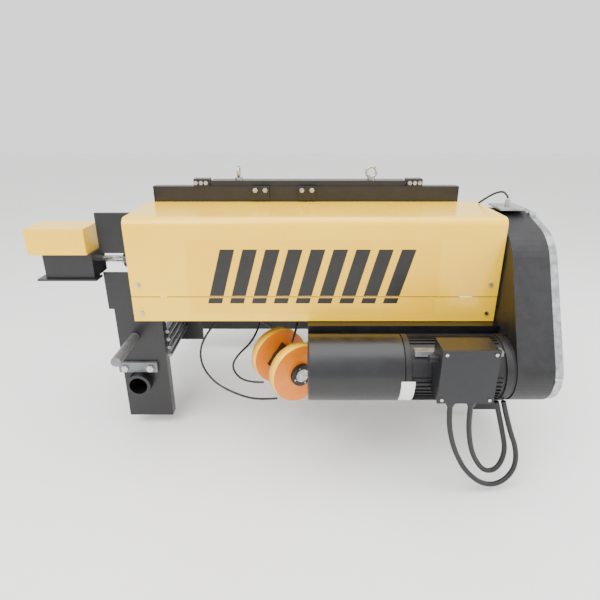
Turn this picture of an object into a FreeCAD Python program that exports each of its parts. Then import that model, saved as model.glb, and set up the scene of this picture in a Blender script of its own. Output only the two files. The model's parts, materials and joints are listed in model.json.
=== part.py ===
import FreeCAD, Part
import math
import os
import re

# Electric wire rope hoist, low-headroom trolley type. Millimetres.
# Origin: on the girder's centreline, at the level of the wheel treads. +Z up, +X along the girder,
# +Y from the drum side towards the counterweight side.

doc = FreeCAD.newDocument("hoist")
sheet = doc.addObject("Spreadsheet::Sheet", "sizes")

sizes = {
    # drum cover
    "coverHalf": 600, "coverRoom": 37, "coverHeadroom": 56, "coverBack": -255, "coverSeam": 216,
    "coverFoot": 128, "sheet_wall": 3, "foldRadius": 25, "seamGap": 3,
    # drum
    "drumY": -400, "drumZ": 300, "drumRadius": 118, "drumWall": 12, "drumEndRoom": 80, "ropeDiameter": 8,
    "ropePitch": 9, "shaftRadius": 30, "runFit": 0.05,
    # frame
    "columnOut": 127, "columnWidth": 184, "columnFoot": -318, "columnDrop": 4, "columnFront": -450,
    "plateWall": 12, "columnReturn": 40, "barOut": 49, "barZ": -168, "barRadius": 45, "barBore": 33,
    "barFront": -485, "barBack": 215, "sideGap": 175, "endGap": 16,
    "beamLeft": -584, "beamRight": 532, "beamFront": -250, "beamTop": 529, "beamHeight": 70, "beamDepth": 40,
    "railLeft": -372, "railRight": 335, "railTop": 548, "railHeight": 34,
    # trolley
    "wheelX": 519, "wheelRadius": 62, "wheelRim": 72, "wheelTread": 40, "axleRadius": 15, "legWidth": 114,
    "legFoot": -120, "sideTop": 200, "weightRoom": 139, "weightDepth": 150, "weightHeight": 230,
    # gearbox and motor
    "gearGap": 6, "gearWidth": 114, "gearLid": 26, "motorY": -667, "motorZ": 18, "motorRadius": 106,
    "motorLength": 627, "cowlLength": 290, "boxBack": 257, "boxWidth": 157, "boxHeight": 165,
    "boxFront": -850, "boxDepth": 78, "boxFoot": 2,
    # limit switch
    "switchOut": 341, "switchWidth": 194, "switchDepth": 130, "switchFront": -505,
    # hook block
    "blockX": -92, "blockY": -482, "blockZ": -70, "guardRadius": 103, "guardWall": 4, "guardWidth": 38,
    "sheaveSpacing": 146, "sheaveRadius": 88, "sheaveWidth": 26, "pinRadius": 18, "blockYaw": 30,
    "returnX": -250, "returnY": -225, "returnZ": 215, "returnRadius": 85,
}
# What lines up with another piece takes its place from the sizes above.
sizes["coverFront"] = sizes["drumY"] - sizes["drumRadius"] - sizes["coverRoom"]
sizes["coverTop"] = sizes["drumZ"] + sizes["drumRadius"] + sizes["coverHeadroom"]
sizes["columnTop"] = sizes["coverTop"] - sizes["columnDrop"]
sizes["columnLeft"] = -sizes["coverHalf"] - sizes["columnOut"]
sizes["switchLeft"] = -sizes["coverHalf"] - sizes["switchOut"]
sizes["barX"] = sizes["coverHalf"] + sizes["barOut"]
sizes["drumHalf"] = sizes["coverHalf"] - sizes["drumEndRoom"]
sizes["gearLeft"] = sizes["coverHalf"] + sizes["gearGap"]
sizes["gearRight"] = sizes["gearLeft"] + sizes["gearWidth"]
sizes["motorRight"] = sizes["gearLeft"]
sizes["motorLeft"] = sizes["motorRight"] - sizes["motorLength"]
sizes["boxLeft"] = sizes["motorRight"] - sizes["boxBack"]
sizes["weightLength"] = 2 * (sizes["wheelX"] - sizes["weightRoom"])
for row, (alias, value) in enumerate(sizes.items(), start=1):
    sheet.set("A%d" % row, alias)
    sheet.set("B%d" % row, str(value))
    sheet.setAlias("B%d" % row, alias)
doc.recompute()
AXIS = {
    "x": FreeCAD.Rotation(FreeCAD.Vector(0, 1, 0), 90),
    "y": FreeCAD.Rotation(FreeCAD.Vector(1, 0, 0), -90),
    "z": FreeCAD.Rotation(),
}
nodes = []


def cells(text):
    """Turn names of sheet cells in an expression into references to the sheet."""
    return re.sub(r"[A-Za-z_]\w*", lambda word: "sizes." + word[0] if word[0] in sizes else word[0], str(text))


def bind(item, **links):
    for prop, text in links.items():
        item.setExpression(prop.replace("__", "."), cells(text))


def place(item, x, y, z):
    for key, text in (("x", x), ("y", y), ("z", z)):
        item.setExpression("Placement.Base." + key, cells(text))


def box(x, y, z, dx, dy, dz):
    item = doc.addObject("Part::Box", "block")
    bind(item, Length=dx, Width=dy, Height=dz)
    place(item, x, y, z)
    return item


def rod(axis, x, y, z, radius, length):
    item = doc.addObject("Part::Cylinder", "rod")
    item.Placement = FreeCAD.Placement(FreeCAD.Vector(), AXIS[axis])
    bind(item, Radius=radius, Height=length)
    place(item, x, y, z)
    return item


def fuse(*items):
    item = doc.addObject("Part::MultiFuse", "union")
    item.Shapes = list(items)
    return item


def cut(base, *tools):
    item = doc.addObject("Part::Cut", "cut")
    item.Base = base
    item.Tool = tools[0] if len(tools) == 1 else fuse(*tools)
    return item


def tube(axis, x, y, z, radius, bore, length):
    return cut(rod(axis, x, y, z, radius, length), rod(axis, x, y, z, bore, length))


def group(*items):
    item = doc.addObject("Part::Compound", "group")
    item.Links = list(items)
    return item


def node(name, item):
    item.Label = name
    nodes.append(item)
    return item


def hexagon(axis, x, y, z, across, length):
    item = doc.addObject("Part::Prism", "hex")
    item.Polygon = 6
    item.Placement = FreeCAD.Placement(FreeCAD.Vector(), AXIS[axis])
    bind(item, Circumradius="(%s) / 1.732" % across, Height=length)
    place(item, x, y, z)
    return item


def size(alias):
    return float(sizes[alias])


# ---------------------------------------------------------------- drum cover
def folded_sheet(top, foot, rounded):
    """An open-backed sheet: a front wall and a top, joined by a round fold."""
    outer = box("-coverHalf", "coverFront", foot, "2 * coverHalf", "coverBack - coverFront", "%s - (%s)" % (top, foot))
    inner = box("-coverHalf", "coverFront + sheet_wall", "(%s) - 1" % foot, "2 * coverHalf",
                "coverBack - coverFront", "%s - (%s) + 1 - %s" % (top, foot, "sheet_wall" if rounded else "-1"))
    return outer, inner


def fold_edge(item, radius):
    """Round the long front-top edges of a folded sheet."""
    doc.recompute()
    fillet = doc.addObject("Part::Fillet", "fold")
    fillet.Base = item
    edges = []
    for number, edge in enumerate(item.Shape.Edges, start=1):
        middle = edge.CenterOfMass
        long_edge = edge.Length > 1.9 * size("coverHalf")
        near_top = middle.z > size("coverTop") - 2 * size("sheet_wall")
        near_front = middle.y < size("coverFront") + 2 * size("sheet_wall")
        if long_edge and near_top and near_front:
            outer = middle.y < size("coverFront") + 0.5 * size("sheet_wall")
            edges.append((number, radius if outer else radius - size("sheet_wall"),
                          radius if outer else radius - size("sheet_wall")))
    fillet.Edges = edges
    return fillet


outer, inner = folded_sheet("coverTop", "coverSeam", True)
node("drum_cover", fold_edge(cut(outer, inner), size("foldRadius")))
lower = cut(
    box("-coverHalf", "coverFront", "coverFoot", "2 * coverHalf", "90", "coverSeam - seamGap - coverFoot"),
    box("-coverHalf", "coverFront + sheet_wall", "coverFoot + sheet_wall", "2 * coverHalf", "90",
        "coverSeam - coverFoot"),
)
node("lower_cover", lower)
screws = []
for side, x in ((-1, "-coverHalf + 28"), (1, "coverHalf - 28")):
    for z in ("coverSeam + 42", "coverFoot + 30"):
        screws.append(rod("y", x, "coverFront - 5", z, "7", "5"))

# ---------------------------------------------------------------- end frames
front_plate = box("columnLeft", "columnFront", "columnFoot", "columnWidth", "plateWall", "columnTop - columnFoot")
return_plate = box("columnLeft + columnWidth - plateWall", "columnFront", "columnFoot", "plateWall",
                   "columnReturn", "coverFoot - columnFoot - 8")
bar_hole = rod("y", "-barX", "columnFront - 1", "barZ", "barRadius", "plateWall + 2")
notch = box("columnLeft - 1", "columnFront - 1", "columnFoot - 1", "19", "plateWall + 2", "coverFoot - columnFoot + 1")
drum_hole = rod("x", "-coverHalf - 200", "drumY", "drumZ", "shaftRadius + 30", "220")
node("left_end_frame", cut(fuse(front_plate, return_plate), bar_hole, notch, drum_hole))
node("left_bearing_plate", cut(
    box("-coverHalf - endGap - plateWall", "columnFront + plateWall", "coverFoot", "plateWall",
        "-sideGap - 24 - columnFront - plateWall", "coverTop - coverFoot - 30"),
    rod("x", "-coverHalf - endGap - plateWall - 1", "drumY", "drumZ", "55", "plateWall + 2")))
right_plate = box("coverHalf + 27", "columnFront + 36", "columnFoot", "100", "plateWall", "coverFoot - columnFoot - 130")
node("right_end_frame", cut(right_plate, rod("y", "barX + 27", "columnFront + 35", "barZ", "barRadius", "plateWall + 2")))

bars = []
keepers = []
keeper_bolts = []
for x, front in (("-barX", "barFront"), ("barX + 27", "barFront + 36")):
    bars.append(tube("y", x, front, "barZ", "barRadius", "barBore", "barBack - (%s)" % front))
    face = "(%s) + 23" % front
    keepers.append(box("(%s) - 71" % x, face, "barZ + barRadius + 1", "142", "12", "40"))
    for shift in (-47, 47):
        keeper_bolts.append(hexagon("y", "(%s) + (%d)" % (x, shift), "(%s) - 11" % face, "barZ + barRadius + 20",
                                    "24", "11"))
node("load_bars", group(*bars))
node("keeper_plates", group(*keepers))

ties = []
for step in range(4):
    ties.append(rod("y", "columnLeft + columnWidth + 13", "columnFront + 6", "-60 + %d" % (32 * step), "7",
                    "-sideGap - 12 - columnFront - 6"))
node("tie_rods", group(rod("y", "-barX", "columnFront - 190", "18", "17", "190"), *ties))

# ---------------------------------------------------------------- top beam
beam = cut(
    box("beamLeft", "beamFront", "beamTop - beamHeight", "beamRight - beamLeft", "beamDepth", "beamHeight"),
    box("beamLeft - 1", "beamFront + 5", "beamTop - beamHeight + 5", "beamRight - beamLeft + 2", "beamDepth - 10",
        "beamHeight - 10"))
node("upper_rail", box("railLeft", "beamFront + 6", "beamTop", "railRight - railLeft", "beamDepth + 20",
                       "railTop - beamTop"))
clamps = []
clamp_bolts = []
for x in ("railLeft - 62", "railRight + 4"):
    clamps.append(box(x, "beamFront - 2", "beamTop", "58", "beamDepth + 4", "26"))
    for shift in (10, 28, 46):
        clamp_bolts.append(hexagon("y", "(%s) + %d" % (x, shift), "beamFront - 12", "beamTop + 13", "14", "10"))
for x in (-192, -23):
    clamps.append(box("%d - 32" % x, "beamFront - 10", "beamTop - 48", "64", "10", "50"))
    for shift in (-18, 18):
        clamp_bolts.append(hexagon("y", "%d + (%d)" % (x, shift), "beamFront - 20", "beamTop - 12", "16", "10"))
node("beam_clamps", group(*clamps))
node("frame_bolts", group(*screws, *keeper_bolts, *clamp_bolts))
eyes = []
for x in (-273, 214):
    ring = doc.addObject("Part::Torus", "ring")
    ring.Radius1 = 18
    ring.Radius2 = 5
    ring.Placement = FreeCAD.Placement(FreeCAD.Vector(), AXIS["y"] if x > 0 else AXIS["x"])
    place(ring, "%d" % x, "beamFront + 35", "railTop + 28")
    eyes.append(fuse(ring, rod("z", "%d" % x, "beamFront + 35", "railTop", "14", "9")))
node("lifting_eyes", group(*eyes))

# ---------------------------------------------------------------- trolley
def side_plate(sign):
    """A trolley side plate with two legs, and bores for the wheel axles."""
    y = "-sideGap - 12" if sign < 0 else "sideGap"
    plate = box("-barX - 60" if sign > 0 else "-wheelX - legWidth / 2", y, "40" if sign < 0 else "legFoot - 120",
                "2 * barX + 147" if sign > 0 else "2 * wheelX + legWidth", "12",
                "sideTop - 40" if sign < 0 else "sideTop - legFoot + 120")
    legs = []
    if sign < 0:
        for side in (-1, 1):
            legs.append(box("%d * wheelX - legWidth / 2" % side, y, "legFoot", "legWidth", "12", "160 - legFoot"))
    bores = []
    for side in (-1, 1):
        bores.append(rod("y", "%d * wheelX" % side, "(%s) - 1" % y, "wheelRadius", "axleRadius", "14"))
    if sign > 0:
        for x in ("-barX", "barX + 27"):
            bores.append(rod("y", x, "(%s) - 1" % y, "barZ", "barRadius", "14"))
    return cut(fuse(plate, *legs) if legs else plate, *bores)


node("front_side_plate", side_plate(-1))
node("rear_side_plate", side_plate(1))
hangers = []
for side in (-1, 1):
    hangers.append(box("%d * 420 - 30" % side, "beamFront + 5", "sideTop - 60", "60", "58", "beamTop - beamHeight - sideTop + 60"))
node("top_beam", group(beam, *hangers))
node("counterweight", box("-weightLength / 2", "sideGap + 14", "-40", "weightLength", "weightDepth", "weightHeight"))
axles = []
for side in (-1, 1):
    for sign in (-1, 1):
        start = "-sideGap - 20" if sign < 0 else "sideGap - 88"
        axles.append(rod("y", "%d * wheelX" % side, start, "wheelRadius", "axleRadius", "100"))
axles.append(rod("y", "returnX", "returnY - 20", "returnZ", "18", "-sideGap - 12 - returnY + 20"))
node("axles", group(*axles))
for side, side_name in ((-1, "left"), (1, "right")):
    for sign, sign_name in ((-1, "front"), (1, "rear")):
        tread_y = "-sideGap + 16 + 14" if sign < 0 else "sideGap - 16 - 14 - wheelTread"
        rim_y = "-sideGap + 16" if sign < 0 else "sideGap - 30"
        x = "%d * wheelX" % side
        wheel = cut(fuse(rod("y", x, tread_y, "wheelRadius", "wheelRadius", "wheelTread"),
                         rod("y", x, rim_y, "wheelRadius", "wheelRim", "14")),
                    rod("y", x, "(%s) - 60" % rim_y, "wheelRadius", "axleRadius + runFit", "140"))
        node("%s_%s_wheel" % (sign_name, side_name), wheel)
node("travel_motor", fuse(rod("y", "wheelX", "sideGap + 12 + 60", "wheelRadius + 60", "52", "200"),
                          box("wheelX - 60", "sideGap + 12", "wheelRadius - 40", "120", "60", "160")))

# ---------------------------------------------------------------- drum
drum_outer = rod("x", "-drumHalf", "drumY", "drumZ", "drumRadius", "2 * drumHalf")
drum_inner = rod("x", "-drumHalf - 1", "drumY", "drumZ", "drumRadius - drumWall", "2 * drumHalf + 2")
flanges = []
for x in ("-drumHalf", "drumHalf - 16"):
    flanges.append(rod("x", x, "drumY", "drumZ", "drumRadius + 16", "16"))
drum_shaft = rod("x", "-coverHalf - 60", "drumY", "drumZ", "shaftRadius", "2 * coverHalf + 66 + 54")
node("drum", fuse(cut(drum_outer, drum_inner), drum_shaft, *flanges))
winding = []
for turn in range(30):
    ring = doc.addObject("Part::Torus", "turn")
    bind(ring, Radius1="drumRadius + ropeDiameter / 2 + 0.05", Radius2="ropeDiameter / 2")
    ring.Placement = FreeCAD.Placement(FreeCAD.Vector(), AXIS["x"])
    place(ring, "-drumHalf + 40 + %d * ropePitch" % turn, "drumY", "drumZ")
    winding.append(ring)
node("drum_rope", group(*winding))
node("rope_guide", cut(rod("x", "-drumHalf + 40 + 31 * ropePitch", "drumY", "drumZ", "drumRadius + ropeDiameter + 14", "32"),
                       rod("x", "-drumHalf + 40 + 31 * ropePitch - 1", "drumY", "drumZ", "drumRadius + ropeDiameter + 1", "34")))
node("drum_bearings", group(
    tube("x", "-coverHalf - endGap - plateWall", "drumY", "drumZ", "55", "shaftRadius + runFit", "plateWall + 10")))

# ---------------------------------------------------------------- gearbox

def gear_casing(grow, x, width):
    """The casing's outline: one round lobe for each shaft, joined by straight sides."""
    centres = ((size("drumY") + 40, size("drumZ") + 20, 150), (size("drumY") - 75, size("drumZ") - 10, 150),
               (size("motorY"), size("motorZ"), 104), (size("motorY") + 130, size("motorZ"), 104))
    points = []
    for y, z, radius in centres:
        for step in range(48):
            angle = math.radians(7.5 * step)
            points.append((y + (radius + grow) * math.cos(angle), z + (radius + grow) * math.sin(angle)))
    points = sorted(set(points))

    def half(sequence):
        chain = []
        for p in sequence:
            while len(chain) > 1 and ((chain[-1][0] - chain[-2][0]) * (p[1] - chain[-2][1])
                                      - (chain[-1][1] - chain[-2][1]) * (p[0] - chain[-2][0])) <= 0:
                chain.pop()
            chain.append(p)
        return chain[:-1]

    hull = half(points) + half(points[::-1])
    vectors = [FreeCAD.Vector(x, y, z) for y, z in hull]
    face = Part.Face(Part.makePolygon(vectors + vectors[:1]))
    return face.extrude(FreeCAD.Vector(width, 0, 0))


def featured(shape):
    item = doc.addObject("Part::Feature", "casing")
    item.Shape = shape
    return item


gear_left, gear_right, gear_lid = size("gearLeft"), size("gearRight"), size("gearLid")
shell = gear_casing(0, gear_left, gear_right - gear_left).cut(gear_casing(-10, gear_left + 10, gear_right - gear_left))
for y, z, bore in ((size("drumY"), size("drumZ"), size("shaftRadius") + size("runFit")),
                   (size("motorY"), size("motorZ"), 19 + size("runFit"))):
    shell = shell.cut(Part.makeCylinder(bore, 30, FreeCAD.Vector(gear_left - 1, y, z), FreeCAD.Vector(1, 0, 0)))
node("gearbox_housing", featured(shell))
node("gearbox_cover", featured(gear_casing(-4, gear_right, gear_lid)))
cover_bolts = []
for y, z in ((-555, 330), (-560, 240), (-640, 150), (-690, 60), (-560, -40), (-320, 420), (-420, 440), (-300, 240)):
    cover_bolts.append(hexagon("x", "gearRight + gearLid", "%d" % y, "%d" % z, "17", "9"))
node("gearbox_bolts", group(*cover_bolts))
node("gearbox_lid", group(box("coverHalf + 20", "-430", "coverTop", "90", "110", "6"),
                          rod("z", "coverHalf + 62", "-380", "coverTop + 6", "9", "22")))
node("drum_gear", cut(rod("x", "gearLeft + 26", "drumY", "drumZ", "120", "30"),
                      rod("x", "gearLeft + 25", "drumY", "drumZ", "shaftRadius", "32")))
node("middle_gear", fuse(rod("x", "gearLeft + 26", "drumY - 118", "drumZ - 112", "42", "30"),
                         rod("x", "gearLeft + 60", "drumY - 118", "drumZ - 112", "84", "18"),
                         rod("x", "gearLeft + 14", "drumY - 118", "drumZ - 112", "14", "94")))
node("fast_gear", fuse(rod("x", "gearLeft + 60", "motorY + 70", "motorZ + 92", "26", "18"),
                       rod("x", "gearLeft + 84", "motorY + 70", "motorZ + 92", "90", "14"),
                       rod("x", "gearLeft + 14", "motorY + 70", "motorZ + 92", "12", "94")))

# ---------------------------------------------------------------- motor
motor_shell = cut(rod("x", "motorLeft + cowlLength", "motorY", "motorZ", "motorRadius - 6",
                      "motorRight - motorLeft - cowlLength - 0.5"),
                  rod("x", "motorLeft + cowlLength - 1", "motorY", "motorZ", "motorRadius - 14",
                      "motorRight - motorLeft - cowlLength - 20"),
                  rod("x", "motorRight - 40", "motorY", "motorZ", "19 + runFit", "60"))
node("motor_housing", motor_shell)
cowl = cut(rod("x", "motorLeft", "motorY", "motorZ", "motorRadius", "cowlLength - 0.5"),
           rod("x", "motorLeft + 4", "motorY", "motorZ", "motorRadius - 4", "cowlLength"))
doc.recompute()
cowl_round = doc.addObject("Part::Chamfer", "cowlEdge")
cowl_round.Base = cowl
cowl_round.Edges = [(number, 3, 3) for number, edge in enumerate(cowl.Shape.Edges, start=1)
                    if abs(edge.BoundBox.XMax - size("motorLeft")) < 0.1 and edge.BoundBox.YLength > 1.95 * size("motorRadius")]
node("motor_cowl", cowl_round)
node("motor_rotor", fuse(rod("x", "motorLeft + 60", "motorY", "motorZ", "19", "gearRight - 22 - motorLeft - 60"),
                         rod("x", "motorLeft + cowlLength + 60", "motorY", "motorZ", "55", "140"),
                         rod("x", "gearLeft + 84", "motorY", "motorZ", "25", "14"),
                         rod("x", "motorLeft + 40", "motorY", "motorZ", "motorRadius - 16", "30")))
coils = [tube("x", "motorLeft + cowlLength + 60", "motorY", "motorZ", "motorRadius - 14", "56", "140")]
coils.append(tube("x", "motorLeft + 150", "motorY", "motorZ", "75", "24", "80"))
node("motor_coils", group(*coils))
node("motor_rail", box("motorLeft", "coverFront - 35", "motorZ + 78", "gearLeft - motorLeft - 0.5", "95",
                       "coverFoot - motorZ - 80"))
node("terminal_box", cut(box("boxLeft", "boxFront + 10", "boxFoot", "boxWidth", "boxDepth", "boxHeight"),
                         box("boxLeft + 4", "boxFront + 9", "boxFoot + 4", "boxWidth - 8", "boxDepth - 4",
                             "boxHeight - 8"),
                         rod("x", "motorLeft + cowlLength", "motorY", "motorZ", "motorRadius - 5.7", "400")))
node("terminal_lid", box("boxLeft - 2", "boxFront", "boxFoot - 2", "boxWidth + 4", "10", "boxHeight + 4"))
glands = [rod("z", "boxLeft + %d" % x, "boxFront + 45", "boxFoot - 26", "16", "26") for x in (52, 114)]
glands.append(rod("x", "boxLeft - 26", "boxFront + 45", "boxFoot + boxHeight - 45", "11", "26"))
node("cable_glands", group(*glands))

# ---------------------------------------------------------------- limit switch
node("limit_lid", cut(box("switchLeft", "switchFront", "342", "switchWidth", "switchDepth", "86"),
                      box("switchLeft + 3", "switchFront + 3", "341", "switchWidth - 6", "switchDepth - 6", "84")))
switch_body = box("switchLeft + 40", "switchFront + 12", "258", "switchWidth - 31", "switchDepth - 24", "84")
node("limit_base", group(switch_body, box("switchLeft + 14", "switchFront", "252", "columnLeft - switchLeft - 15", "52", "6")))
node("limit_shaft", rod("x", "switchLeft + switchWidth + 9.1", "drumY", "drumZ", "12",
                        "-coverHalf - 60 - switchLeft - switchWidth - 9.2"))

# ---------------------------------------------------------------- hook block
turned = FreeCAD.Placement(FreeCAD.Vector(size("blockX"), size("blockY"), size("blockZ")),
                           FreeCAD.Rotation(FreeCAD.Vector(0, 0, 1), size("blockYaw")))
roll = FreeCAD.Placement(FreeCAD.Vector(), FreeCAD.Rotation(FreeCAD.Vector(0, 1, 0), -50))


def in_block(shape):
    """Place a shape that is made about the sheave axis (along Y, hook down) in the resting block."""
    shape.Placement = turned.multiply(roll).multiply(shape.Placement)
    return featured(shape)


def disc(radius, start, width, x=0.0, z=0.0):
    return Part.makeCylinder(radius, width, FreeCAD.Vector(x, start, z), FreeCAD.Vector(0, 1, 0))


half_spacing = size("sheaveSpacing") / 2
guard_r, guard_w, wall = size("guardRadius"), size("guardWidth"), size("guardWall")
pin_r, fit = size("pinRadius"), size("runFit")
guards = []
for name, middle in (("front", -half_spacing), ("rear", half_spacing)):
    guard = disc(guard_r, middle - guard_w / 2, guard_w).cut(disc(guard_r - wall, middle - guard_w / 2 + wall, guard_w - 2 * wall))
    guard = guard.cut(disc(pin_r, middle - guard_w, 2 * guard_w))
    for x, z in ((-70, 110), (-110, -60)):
        slot = Part.makeBox(60, 14, 60, FreeCAD.Vector(x - 30, middle - 7, z - 30))
        guard = guard.cut(slot)
    guards.append(guard)
    sheave_r, sheave_w = size("sheaveRadius"), size("sheaveWidth")
    groove = Part.makeTorus(sheave_r + 1, 6.5, FreeCAD.Vector(0, middle, 0), FreeCAD.Vector(0, 1, 0))
    sheave = disc(sheave_r, middle - sheave_w / 2, sheave_w).cut(groove)
    sheave = sheave.cut(disc(pin_r + fit, middle - sheave_w, 2 * sheave_w))
    node(name + "_sheave", in_block(sheave))
node("sheave_guards", in_block(Part.makeCompound(guards)))
reach = half_spacing - guard_w / 2 - 1
cheek = Part.makeBox(96, 2 * reach, 70, FreeCAD.Vector(-48, -reach, -35)).cut(disc(pin_r, -reach - 1, 2 * reach + 2))
cheek = cheek.cut(Part.makeBox(60, 2 * reach - 24, 70, FreeCAD.Vector(-30, 12 - reach, -70)))
cheek = cheek.cut(Part.makeCylinder(17 + fit, 120, FreeCAD.Vector(0, 0, -60)))
node("block_yoke", in_block(cheek.removeSplitter()))
pin_half = half_spacing + guard_w / 2 + 14
pin = disc(pin_r, -pin_half, 2 * pin_half)
pin = pin.cut(Part.makeCylinder(17 + fit, 120, FreeCAD.Vector(0, 0, -60)))
hub = disc(40, -pin_half, 12).fuse(disc(40, pin_half - 12, 12))
node("block_pin", in_block(pin.fuse(hub).removeSplitter()))


def hook_shape():
    """A forged hook: a threaded shank, and a throat swept round an arc."""
    shank = Part.makeCylinder(17, 150, FreeCAD.Vector(0, 0, -90))
    nut = Part.makeCylinder(26, 20, FreeCAD.Vector(0, 0, 38))
    centre = FreeCAD.Vector(0, 0, -140)
    arc = Part.Arc(FreeCAD.Vector(0, 0, -90), FreeCAD.Vector(-50, 0, -140), FreeCAD.Vector(0, 0, -190)).toShape()
    second = Part.Arc(FreeCAD.Vector(0, 0, -190), FreeCAD.Vector(43, 0, -165), FreeCAD.Vector(46, 0, -128)).toShape()
    path = Part.Wire([arc, second])
    profile = Part.Wire(Part.makeCircle(17, FreeCAD.Vector(0, 0, -90), FreeCAD.Vector(-1, 0, 0)))
    bend = path.makePipeShell([profile], True, True)
    tip = Part.makeSphere(17, FreeCAD.Vector(46, 0, -128))
    latch_pin = Part.makeCylinder(3, 29, FreeCAD.Vector(24, -14.5, -84), FreeCAD.Vector(0, 1, 0))
    ears = [Part.makeBox(18, 3, 10, FreeCAD.Vector(10, y, -89)) for y in (-14.5, 11.5)]
    return shank.fuse([nut, bend, tip, latch_pin] + ears).removeSplitter()


node("hook", in_block(hook_shape()))
latch = Part.makeBox(8, 22, 32, FreeCAD.Vector(20, -11, -110))
latch = latch.cut(Part.makeCylinder(3 + fit, 40, FreeCAD.Vector(24, -20, -84), FreeCAD.Vector(0, 1, 0)))
latch.rotate(FreeCAD.Vector(24, 0, -84), FreeCAD.Vector(0, 1, 0), -30)
node("hook_latch", in_block(latch))

# ---------------------------------------------------------------- return sheave and rope anchor
rx, ry, rz, rr = size("returnX"), size("returnY"), size("returnZ"), size("returnRadius")
sheave = Part.makeCylinder(rr, 24, FreeCAD.Vector(rx, ry - 12, rz), FreeCAD.Vector(0, 1, 0))
sheave = sheave.cut(Part.makeTorus(rr + 1, 6.5, FreeCAD.Vector(rx, ry, rz), FreeCAD.Vector(0, 1, 0)))
sheave = sheave.cut(Part.makeCylinder(18 + fit, 60, FreeCAD.Vector(rx, ry - 30, rz), FreeCAD.Vector(0, 1, 0)))
node("return_sheave", featured(sheave))

# ---------------------------------------------------------------- cables and ropes
def cord(name, diameter, points):
    """A round cord along straight runs joined by tangent arcs."""
    vectors = [FreeCAD.Vector(*point) for point in points]
    edges, start, radii = [], vectors[0], []
    for before, corner, after in zip(vectors, vectors[1:], vectors[2:]):
        back, forward = (before - corner), (after - corner)
        trim = 0.45 * min(back.Length, forward.Length)
        back.normalize()
        forward.normalize()
        half_turn = (math.pi - back.getAngle(forward)) / 2
        radius = trim / math.tan(half_turn)
        first, last = corner + back * trim, corner + forward * trim
        inward = (back + forward).normalize()
        middle = corner + inward * (radius / math.cos(half_turn) - radius)
        edges.append(Part.LineSegment(start, first).toShape())
        edges.append(Part.Arc(first, middle, last).toShape())
        radii.append(radius)
        start = last
    edges.append(Part.LineSegment(start, vectors[-1]).toShape())
    path = Part.Wire(edges)
    profile = Part.Wire(Part.makeCircle(diameter / 2, vectors[0], vectors[1] - vectors[0]))
    solid = path.makePipeShell([profile], True, False)
    share = solid.Volume / (math.pi * diameter ** 2 / 4 * path.Length)
    print("%s: %.0f mm long, smallest radius %.0f mm, volume %.3f of section times length"
          % (name, path.Length, min(radii), share))
    return node(name, featured(solid))


cord("motor_cable_left", 16, [(401, -805, -25), (403, -805, -85), (417, -805, -150), (438, -805, -210),
                              (478, -806, -282), (540, -806, -335), (600, -800, -335), (642, -790, -285),
                              (640, -778, -215), (612, -765, -150), (586, -749, -58)])
cord("motor_cable_right", 16, [(463, -805, -25), (464, -804, -85), (476, -800, -160), (498, -796, -230),
                               (545, -785, -300), (592, -775, -300), (614, -765, -240), (598, -757, -170),
                               (566, -746, -62)])
cord("rope_fall_one", 8, [(-228, -398, 164), (-222, -400, 100), (-196, -406, 58), (-150, -412, 40)])
cord("rope_fall_two", 8, [(-187, -440, -178), (-226, -432, -184), (-279, -428, -170), (-310, -415, -128),
                          (-290, -400, -85), (-233, -350, -50), (-200, -290, 20), (-170, -250, 115), (-163, -227, 200)])
cord("rope_fall_three", 8, [(-337, -227, 200), (-335, -248, 115), (-346, -300, 45), (-404, -345, -7), (-437, -370, -72),
                            (-426, -400, -134), (-375, -430, -187), (-292, -470, -210), (-203, -520, -205),
                            (-130, -565, -168)])
cord("rope_fall_four", 8, [(-48, -405, 168), (-50, -430, 100), (-62, -480, 58), (-74, -545, 45)])
cord("sensor_cable", 7, [(592, -300, 477), (614, -320, 503), (641, -350, 526), (655, -370, 524), (661, -380, 507)])

doc.recompute()
os.makedirs("parts", exist_ok=True)
for item in doc.Objects:
    if "Invalid" in item.State or "Error" in item.State:
        raise RuntimeError("%s (%s) failed: %s" % (item.Name, item.Label, item.State))
for item in nodes:
    if item.Shape.isNull() or not item.Shape.isValid():
        raise RuntimeError("%s has no valid shape" % item.Label)
    item.Shape.exportStep("parts/%s.step" % item.Label)
print("nodes:", len(nodes))
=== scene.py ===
import math
import json
import bpy
import bmesh
from mathutils import Vector, Matrix


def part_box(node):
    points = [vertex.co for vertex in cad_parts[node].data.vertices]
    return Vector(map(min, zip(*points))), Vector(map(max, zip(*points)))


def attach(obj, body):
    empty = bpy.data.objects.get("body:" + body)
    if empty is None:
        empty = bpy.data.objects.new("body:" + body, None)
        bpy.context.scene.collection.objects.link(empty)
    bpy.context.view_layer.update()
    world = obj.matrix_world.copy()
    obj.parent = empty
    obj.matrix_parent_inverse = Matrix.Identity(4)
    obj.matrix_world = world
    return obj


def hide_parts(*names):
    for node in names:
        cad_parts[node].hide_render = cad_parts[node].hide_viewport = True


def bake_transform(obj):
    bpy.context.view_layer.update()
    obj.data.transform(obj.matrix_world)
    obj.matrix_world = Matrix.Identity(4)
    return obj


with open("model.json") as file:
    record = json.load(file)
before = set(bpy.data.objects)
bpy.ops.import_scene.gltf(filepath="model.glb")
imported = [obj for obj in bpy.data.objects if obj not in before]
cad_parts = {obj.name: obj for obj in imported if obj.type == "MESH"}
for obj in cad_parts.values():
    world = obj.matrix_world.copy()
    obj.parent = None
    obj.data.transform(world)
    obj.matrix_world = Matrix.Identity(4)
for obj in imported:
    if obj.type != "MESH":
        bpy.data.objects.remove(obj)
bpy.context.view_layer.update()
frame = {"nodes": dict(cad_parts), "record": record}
print("frame loaded:", len(frame["nodes"]), "nodes")


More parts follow.
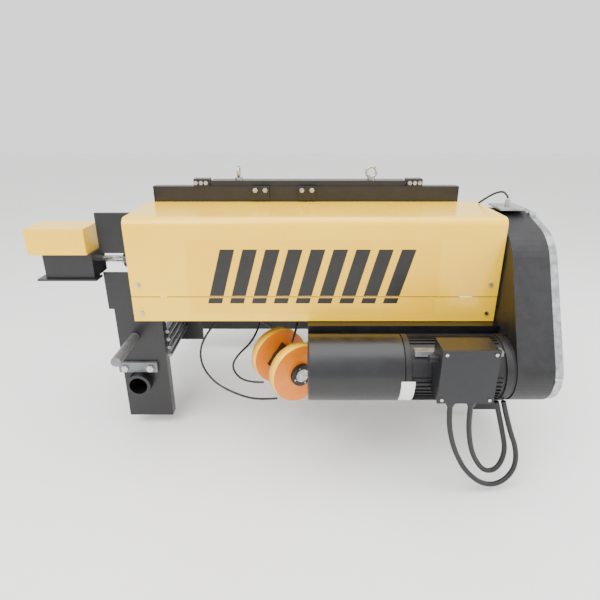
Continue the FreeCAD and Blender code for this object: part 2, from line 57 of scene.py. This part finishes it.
# ---- colours and nodes
def linear(hexText):
    # sRGB hex to the linear values that a shader needs
    parts = [int(hexText[i:i + 2], 16) / 255 for i in (0, 2, 4)]
    return tuple(p / 12.92 if p <= 0.04045 else ((p + 0.055) / 1.055) ** 2.4 for p in parts) + (1.0,)


def addNode(tree, kind, settings=None, inputs=None, links=None):
    item = tree.nodes.new(kind)
    for name, value in (settings or {}).items():
        setattr(item, name, value)
    for name, value in (inputs or {}).items():
        item.inputs[name].default_value = value
    for name, source in (links or {}).items():
        tree.links.new(source, item.inputs[name])
    return item


def makeMaterial(name, base, worn, roughness, spread, metallic=0.0, coat=0.0, patch=40, grain=900, bump=0.05,
                 grainDepth=0.0004, ior=1.5, stretch=(1, 1, 1)):
    # base and worn are the two colours of the surface, patch and grain are patterns per metre
    made = bpy.data.materials.new(name)
    made.use_nodes = True
    tree = made.node_tree
    shader = tree.nodes["Principled BSDF"]
    place = addNode(tree, "ShaderNodeTexCoord")
    mapped = addNode(tree, "ShaderNodeMapping", None, {"Scale": stretch}, {"Vector": place.outputs["Object"]})
    cloud = addNode(tree, "ShaderNodeTexNoise", None, {"Scale": patch, "Detail": 5.0, "Roughness": 0.6},
                    {"Vector": mapped.outputs["Vector"]})
    fine = addNode(tree, "ShaderNodeTexNoise", None, {"Scale": grain, "Detail": 3.0},
                   {"Vector": mapped.outputs["Vector"]})
    tint = addNode(tree, "ShaderNodeValToRGB", None, None, {"Fac": cloud.outputs["Fac"]})
    tint.color_ramp.elements[0].position, tint.color_ramp.elements[1].position = 0.35, 0.75
    tint.color_ramp.elements[0].color, tint.color_ramp.elements[1].color = linear(base), linear(worn)
    rough = addNode(tree, "ShaderNodeMapRange", None, {"To Min": roughness - spread, "To Max": roughness + spread},
                    {"Value": cloud.outputs["Fac"]})
    relief = addNode(tree, "ShaderNodeBump", None, {"Strength": bump, "Distance": grainDepth},
                     {"Height": fine.outputs["Fac"]})
    tree.links.new(tint.outputs["Color"], shader.inputs["Base Color"])
    tree.links.new(rough.outputs["Result"], shader.inputs["Roughness"])
    tree.links.new(relief.outputs["Normal"], shader.inputs["Normal"])
    shader.inputs["Metallic"].default_value = metallic
    shader.inputs["IOR"].default_value = ior
    shader.inputs["Coat Weight"].default_value = coat
    shader.inputs["Coat Roughness"].default_value = 0.12
    return made


finishes = {
    # polyester powder coat on bent sheet: glossy with a slight orange peel
    "yellowPowderCoat": makeMaterial("yellowPowderCoat", "ffc600", "ffcf0a", 0.28, 0.05, coat=0.4, patch=6,
                                     grain=500, bump=0.06),
    # satin orange enamel, sprayed and a little dusty
    "orangeEnamel": makeMaterial("orangeEnamel", "ee7d06", "f58d0c", 0.42, 0.07, coat=0.15, patch=30, grain=700,
                                 bump=0.1),
    "yellowEnamel": makeMaterial("yellowEnamel", "ffc20a", "ffcc1a", 0.36, 0.06, coat=0.2, patch=30, grain=700,
                                 bump=0.1),
    # semi-gloss black on welded plate, scuffed to grey in patches
    "blackPlateEnamel": makeMaterial("blackPlateEnamel", "08080b", "14151a", 0.38, 0.1, coat=0.1, patch=22,
                                     grain=450, bump=0.15),
    # black paint over sand-cast iron keeps the casting's grain
    "blackCastIron": makeMaterial("blackCastIron", "0a0a0c", "1b1b1f", 0.5, 0.1, patch=30, grain=260, bump=0.4,
                                  grainDepth=0.0008),
    "blackAbs": makeMaterial("blackAbs", "0b0c10", "14151a", 0.45, 0.06, patch=50, grain=1100, bump=0.15),
    "greyDieCast": makeMaterial("greyDieCast", "6f7174", "85878a", 0.45, 0.1, metallic=0.6, patch=40, grain=400,
                                bump=0.2),
    "castAluminium": makeMaterial("castAluminium", "8f9193", "c4c5c6", 0.42, 0.1, metallic=0.85, patch=45,
                                  grain=350, bump=0.35, grainDepth=0.0006),
    "zincPlatedSteel": makeMaterial("zincPlatedSteel", "9c9c98", "d6d6d2", 0.28, 0.08, metallic=1.0, patch=90,
                                    grain=900, bump=0.08),
    "turnedSteel": makeMaterial("turnedSteel", "4c4d50", "77787b", 0.33, 0.1, metallic=1.0, patch=60, grain=700,
                                bump=0.2, stretch=(8, 1, 1)),
    "greasedWireRope": makeMaterial("greasedWireRope", "242424", "5a5a58", 0.4, 0.12, metallic=0.8, patch=160,
                                    grain=500, bump=0.5, grainDepth=0.001),
    "pvcJacket": makeMaterial("pvcJacket", "0b0b0c", "19191b", 0.48, 0.08, patch=40, grain=900, bump=0.12),
    "greyPvc": makeMaterial("greyPvc", "5c5d5f", "6d6e70", 0.5, 0.08, patch=40, grain=900, bump=0.1),
    "whiteVinyl": makeMaterial("whiteVinyl", "e8e8e2", "f2f2ee", 0.4, 0.05, patch=30, grain=900, bump=0.03),
    "blackVinyl": makeMaterial("blackVinyl", "100f0c", "1b1a16", 0.35, 0.05, patch=30, grain=900, bump=0.03),
    "clearFilm": makeMaterial("clearFilm", "f9bf00", "fcc808", 0.38, 0.05, coat=0.2, patch=9, grain=400, bump=0.05),
    "enamelledCopper": makeMaterial("enamelledCopper", "8a4a22", "a8623a", 0.35, 0.1, metallic=0.9, patch=80),
}
finishOfSlot = {
    "yellow_paint": "yellowPowderCoat", "orange_paint": "orangeEnamel", "black_paint": "blackPlateEnamel",
    "black_cast_iron": "blackCastIron", "black_plastic": "blackAbs", "cast_aluminium": "castAluminium",
    "zinc_steel": "zincPlatedSteel", "bare_steel": "turnedSteel", "wire_rope": "greasedWireRope",
    "black_rubber": "pvcJacket", "copper": "enamelledCopper",
}
for part in frame["record"]["subparts"]:
    piece = frame["nodes"][part["node"]]
    piece.data.materials.clear()
    piece.data.materials.append(finishes[finishOfSlot[part["material_slot"]]])
frame["nodes"]["tie_rods"].data.materials[0] = finishes["greyDieCast"]
frame["nodes"]["keeper_plates"].data.materials[0] = finishes["greyDieCast"]
print("materials on", len(frame["nodes"]), "nodes")


# ---- mesh helpers
def addPiece(name, mesh, finish, body="root", bevel=0.0, smooth=False):
    piece = bpy.data.objects.new(name, mesh)
    bpy.context.scene.collection.objects.link(piece)
    mesh.materials.append(finishes[finish])
    if bevel:
        edge = piece.modifiers.new("edge", "BEVEL")
        edge.width, edge.segments, edge.limit_method = bevel, 3, "ANGLE"
    if smooth:
        for face in mesh.polygons:
            face.use_smooth = True
    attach(piece, body)
    return piece


def meshOf(build):
    work = bmesh.new()
    build(work)
    mesh = bpy.data.meshes.new("mesh")
    work.to_mesh(mesh)
    work.free()
    return mesh


def block(work, low, high):
    low, high = Vector(low), Vector(high)
    size = high - low
    bmesh.ops.create_cube(work, size=1.0, matrix=Matrix.Translation((low + high) / 2)
                          @ Matrix.Diagonal((*size, 1.0)))


def turnedTo(axis):
    return Vector((0, 0, 1)).rotation_difference(Vector(axis)).to_matrix().to_4x4()


def disc(work, centre, axis, radius, depth, sides=32, radius2=None):
    bmesh.ops.create_cone(work, cap_ends=True, segments=sides, radius1=radius,
                          radius2=radius if radius2 is None else radius2, depth=depth,
                          matrix=Matrix.Translation(centre) @ turnedTo(axis))


# ---- the decal on the cover: generic slanted bars on a film
decal = {"left": -0.41, "right": 0.40, "low": 0.155, "high": 0.405, "bars": 9, "slant": 0.05, "lift": 0.0006}
coverLow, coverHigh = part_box("drum_cover")
lowerLow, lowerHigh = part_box("lower_cover")


def decalStrip(work, x0, x1, low, high, slant, lift):
    y = coverLow[1] - lift
    for bottom, top in ((low, min(high, lowerHigh[2] - 0.002)), (max(low, coverLow[2] + 0.002), high)):
        if top - bottom < 0.004:
            continue
        shift = [slant * (z - low) / (high - low) for z in (bottom, top)]
        corners = [(x0 + shift[0], bottom), (x1 + shift[0], bottom), (x1 + shift[1], top), (x0 + shift[1], top)]
        front = [work.verts.new((x, y, z)) for x, z in corners]
        back = [work.verts.new((x, y + lift * 0.6, z)) for x, z in corners]
        work.faces.new(front)
        work.faces.new(back[::-1])
        for i in range(4):
            work.faces.new((front[i], back[i], back[(i + 1) % 4], front[(i + 1) % 4]))


addPiece("decal_film", meshOf(lambda w: decalStrip(w, decal["left"], decal["right"], decal["low"], decal["high"],
                                                   0.0, 0.0004)), "clearFilm")


def decalBars(work):
    step = 0.072
    for i in range(decal["bars"]):
        x = decal["left"] + 0.06 + i * step
        decalStrip(work, x, x + 0.046, 0.192, 0.375, decal["slant"], 0.0008)


addPiece("decal_bars", meshOf(decalBars), "blackVinyl")

# ---- motor: cooling ribs, cowl grille, name plates without text, grey strip
motorLow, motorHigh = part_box("motor_housing")
cowlLow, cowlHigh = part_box("motor_cowl")
motor = {"y": (cowlLow[1] + cowlHigh[1]) / 2, "z": (cowlLow[2] + cowlHigh[2]) / 2,
         "radius": (motorHigh[2] - motorLow[2]) / 2, "ribs": 44, "ribHeight": 0.0055, "ribWidth": 0.0024}


def motorRibs(work):
    for i in range(motor["ribs"]):
        angle = 2 * math.pi * i / motor["ribs"]
        if 0.1 < angle < 1.1 or 1.9 < angle < 2.9:
            continue
        out = Vector((0, math.cos(angle), math.sin(angle)))
        middle = Vector(((motorLow[0] + motorHigh[0] - 0.03) / 2, motor["y"], motor["z"]))
        middle += out * (motor["radius"] + motor["ribHeight"] / 2 - 0.0005)
        turn = Matrix.Rotation(angle, 4, "X")
        bmesh.ops.create_cube(work, size=1.0, matrix=Matrix.Translation(middle) @ turn @ Matrix.Diagonal(
            (motorHigh[0] - motorLow[0] - 0.05, motor["ribHeight"], motor["ribWidth"], 1.0)))


addPiece("motor_ribs", meshOf(motorRibs), "blackCastIron")


def motorBands(work):
    for x in (motorLow[0] + 0.012, motorHigh[0] - 0.022):
        disc(work, (x, motor["y"], motor["z"]), (1, 0, 0), motor["radius"] + 0.006, 0.018, 64)


addPiece("motor_bands", meshOf(motorBands), "blackCastIron", bevel=0.0015)


def greyStrip(work):
    top = motor["z"] + motor["radius"] * 0.80
    block(work, (motorLow[0] + 0.03, motor["y"] - 0.078, top - 0.004), (motorHigh[0] - 0.04, motor["y"] - 0.050, top + 0.014))


addPiece("motor_top_strip", meshOf(greyStrip), "greyDieCast", bevel=0.002)


def cowlVents(work):
    # raised ring and spokes of the fan grille on the cowl's end
    x = cowlLow[0] + 0.0005
    for ring in (0.035, 0.055, 0.075):
        for i in range(48):
            a, b = 2 * math.pi * i / 48, 2 * math.pi * (i + 1) / 48
            p = Vector((x, motor["y"] + ring * math.cos(a), motor["z"] + ring * math.sin(a)))
            q = Vector((x, motor["y"] + ring * math.cos(b), motor["z"] + ring * math.sin(b)))
            disc(work, (p + q) / 2, q - p, 0.0016, (q - p).length * 1.05, 8)
    for i in range(8):
        a = math.pi * i / 4
        way = Vector((0, math.cos(a), math.sin(a)))
        disc(work, Vector((x, motor["y"], motor["z"])) + way * 0.05, way, 0.0018, 0.07, 8)


addPiece("cowl_grille", meshOf(cowlVents), "blackAbs")


def plates(work):
    boxLow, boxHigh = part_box("terminal_box")

    x = boxLow[0] - 0.09
    for z in range(12):
        # the plate follows the round housing in narrow strips
        a = math.radians(176 + 4.4 * z)
        b = math.radians(176 + 4.4 * (z + 1))
        r = motor["radius"] + 0.0062
        ring = []
        for angle in (a, b):
            for xx in (x, x + 0.042):
                ring.append(work.verts.new((xx, motor["y"] + r * math.cos(angle), motor["z"] + r * math.sin(angle))))
        work.faces.new((ring[0], ring[1], ring[3], ring[2]))
    bmesh.ops.remove_doubles(work, verts=work.verts, dist=0.0001)
    bmesh.ops.solidify(work, geom=work.faces[:], thickness=-0.0006)


addPiece("motor_plate", meshOf(plates), "whiteVinyl")

# ---- terminal box: screws and gland nuts
lidLow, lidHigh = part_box("terminal_lid")
glandLow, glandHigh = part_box("cable_glands")


def lidScrews(work):
    for x in (lidLow[0] + 0.012, lidHigh[0] - 0.012):
        for z in (lidLow[2] + 0.012, lidHigh[2] - 0.012):
            disc(work, (x, lidLow[1] - 0.001, z), (0, -1, 0), 0.005, 0.004, 20)


addPiece("terminal_screws", meshOf(lidScrews), "zincPlatedSteel", bevel=0.0006)


def glandNuts(work):
    y = (glandLow[1] + glandHigh[1]) / 2
    for x in (glandHigh[0] - 0.078, glandHigh[0] - 0.016):
        disc(work, (x, y, glandLow[2] + 0.008), (0, 0, 1), 0.0195, 0.014, 6)
        disc(work, (x, y, glandLow[2] - 0.006), (0, 0, -1), 0.015, 0.014, 32, 0.0105)


addPiece("gland_nuts", meshOf(glandNuts), "blackAbs", bevel=0.001)

# ---- gearbox: the bright cover's rim with lobes and bolts
coverPlateLow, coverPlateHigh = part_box("gearbox_cover")


def gearboxLobes(work):
    x = (coverPlateLow[0] + coverPlateHigh[0]) / 2
    spots = ((-0.508, 0.37), (-0.55, 0.29), (-0.60, 0.20), (-0.66, 0.13), (-0.72, 0.10), (-0.762, 0.02), (-0.70, -0.06),
             (-0.55, -0.078), (-0.46, -0.04), (-0.40, 0.07), (-0.30, 0.19), (-0.225, 0.27), (-0.23, 0.38), (-0.3, 0.455),
             (-0.42, 0.455))
    for y, z in spots:
        disc(work, (x - 0.002, y, z), (1, 0, 0), 0.013, 0.022, 28)


addPiece("gearbox_lobes", meshOf(gearboxLobes), "castAluminium", bevel=0.002)


# ---- hook block: yellow rims on the two orange guards
block = {"middle": Vector((-0.092, -0.482, -0.07)), "axis": Vector((-0.5, 0.8660254, 0.0)), "half": 0.073,
         "radius": 0.1032, "width": 0.0375, "skin": 0.0009}


def guardRims(work):
    turn = turnedTo(block["axis"])
    for side in (-1, 1):
        middle = block["middle"] + block["axis"] * block["half"] * side
        rings = []
        for radius, along in ((block["radius"], -0.5), (block["radius"], 0.5),
                              (block["radius"] + block["skin"], 0.5), (block["radius"] + block["skin"], -0.5)):
            ring = []
            for i in range(96):
                angle = 2 * math.pi * i / 96
                local = Vector((radius * math.cos(angle), radius * math.sin(angle), along * block["width"]))
                ring.append(work.verts.new(middle + turn.to_3x3() @ local))
            rings.append(ring)
        for a, b in zip(rings, rings[1:] + rings[:1]):
            for i in range(96):
                work.faces.new((a[i], a[(i + 1) % 96], b[(i + 1) % 96], b[i]))
    bmesh.ops.recalc_face_normals(work, faces=work.faces)


addPiece("guard_rims", meshOf(guardRims), "yellowEnamel", body="hook_block", smooth=True)


def hubRings(work):
    # the turned end plates on the sheave pin, with a ring of screw heads
    for side in (-1, 1):
        middle = block["middle"] + block["axis"] * (block["half"] + 0.0335) * side
        disc(work, middle, block["axis"], 0.024, 0.004, 48)
        across = block["axis"].orthogonal().normalized()
        for i in range(4):
            spoke = Matrix.Rotation(math.pi / 2 * i + 0.4, 3, block["axis"]) @ across
            disc(work, middle + spoke * 0.031, block["axis"], 0.004, 0.006, 6)


addPiece("hub_plates", meshOf(hubRings), "zincPlatedSteel", body="hook_block", bevel=0.0006)


# ---- cables and ropes
def curveFrom(name, points, diameter):
    # a NURBS spline whose control points are the route
    data = bpy.data.curves.new(name, "CURVE")
    data.dimensions = "3D"
    line = data.splines.new("NURBS")
    line.points.add(len(points) - 1)
    for point, place in zip(line.points, points):
        point.co = (*[value / 1000 for value in place], 1.0)
    line.order_u = 3
    line.use_endpoint_u = True
    line.resolution_u = 12
    data.bevel_depth = diameter / 2
    data.bevel_resolution = 5
    data.use_fill_caps = True
    return bpy.data.objects.new(name, data)


def lineOf(piece):
    # the spline's own points, read with no bevel
    depth = piece.data.bevel_depth
    piece.data.bevel_depth = 0.0
    mesh = bpy.data.meshes.new_from_object(piece)
    points = [vert.co.copy() for vert in mesh.vertices]
    bpy.data.meshes.remove(mesh)
    piece.data.bevel_depth = depth
    return points


cables = {
    "motor_cable_left": (0.016, "pvcJacket", [
        (401, -805, -25), (403, -805, -85), (417, -805, -150), (438, -805, -210), (478, -806, -282),
        (540, -806, -335), (600, -800, -335), (642, -790, -285), (640, -778, -215), (612, -765, -150),
        (586, -749, -58)]),
    "motor_cable_right": (0.016, "pvcJacket", [
        (463, -805, -25), (464, -804, -85), (476, -800, -160), (498, -796, -230), (545, -785, -300),
        (592, -775, -300), (614, -765, -240), (598, -757, -170), (566, -746, -62)]),
    "sensor_cable": (0.007, "pvcJacket", [
        (592, -300, 477), (614, -320, 503), (641, -350, 526), (655, -370, 524), (661, -380, 507)]),
}
for name, (diameter, finish, route) in cables.items():
    cable = curveFrom("lead_" + name, route, diameter)
    bpy.context.scene.collection.objects.link(cable)
    cable.data.materials.append(finishes[finish])
    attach(cable, "root")
    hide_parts(name)
    line = lineOf(cable)

ropes = {
    "rope_fall_one": [(-228, -398, 164), (-222, -400, 100), (-196, -406, 58), (-150, -412, 40)],
    "rope_fall_two": [(-163, -227, 200), (-170, -250, 115), (-200, -290, 20), (-233, -350, -50), (-290, -400, -85), (-310, -415, -128),
                      (-279, -428, -170), (-226, -432, -184), (-187, -440, -178)],
    "rope_fall_three": [(-337, -227, 200), (-335, -248, 115), (-346, -300, 45), (-404, -345, -7), (-437, -370, -72), (-426, -400, -134),
                        (-375, -430, -187), (-292, -470, -210), (-203, -520, -205), (-130, -565, -168)],
    "rope_fall_four": [(-48, -405, 168), (-50, -430, 100), (-62, -480, 58), (-74, -545, 45)],
}
ropeDiameter = 0.008
for name, route in ropes.items():
    rope = curveFrom("wire_" + name, route, ropeDiameter)
    line = lineOf(rope)
    mesh = bpy.data.meshes.new_from_object(rope)
    for face in mesh.polygons:
        face.use_smooth = True
    mesh.materials.clear()
    mesh.materials.append(finishes["greasedWireRope"])
    bpy.data.objects.remove(rope)
    tube = bpy.data.objects.new("wire_" + name, mesh)
    bpy.context.scene.collection.objects.link(tube)
    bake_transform(tube)
    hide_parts(name)
print("cables and ropes placed")

# ---- floor, light and camera
scene = bpy.context.scene
stage = {"floor": -0.365, "size": 14.0, "paper": "f4f4f2"}
floorMesh = meshOf(lambda w: bmesh.ops.create_grid(w, x_segments=1, y_segments=1, size=stage["size"]))
floor = bpy.data.objects.new("floor", floorMesh)
floor.location.z = stage["floor"]
scene.collection.objects.link(floor)
floorMesh.materials.append(makeMaterial("paleFloor", stage["paper"], "f7f7f5", 0.8, 0.05, patch=2))

world = bpy.data.worlds.new("studio")
scene.world = world
world.use_nodes = True
world.node_tree.nodes["Background"].inputs["Color"].default_value = linear("ffffff")
world.node_tree.nodes["Background"].inputs["Strength"].default_value = 1.5
for name, place, aim, width, power in (("key", (-1.6, -2.6, 3.0), (0, -0.4, 0.1), 2.4, 150),
                                       ("top", (0.4, -0.6, 3.2), (0, -0.4, 0.2), 2.8, 90),
                                       ("side", (3.0, -1.4, 1.4), (0.3, -0.4, 0.1), 1.6, 50)):
    lamp = bpy.data.lights.new(name, "AREA")
    lamp.energy, lamp.size = power, width
    holder = bpy.data.objects.new(name, lamp)
    holder.location = place
    holder.rotation_euler = (Vector(aim) - Vector(place)).to_track_quat("-Z", "Y").to_euler()
    scene.collection.objects.link(holder)

view = {"place": (-0.037, -2.0, 0.77), "pitch": 21.4, "lens": 28.3}
camera = bpy.data.objects.new("camera", bpy.data.cameras.new("camera"))
camera.location = view["place"]
camera.rotation_euler = (math.radians(90 - view["pitch"]), 0, 0)
camera.data.lens = view["lens"]
camera.data.sensor_width = 36
camera.data.shift_x = -0.005
scene.collection.objects.link(camera)
scene.camera = camera
print("stage set")

bpy.context.view_layer.update()
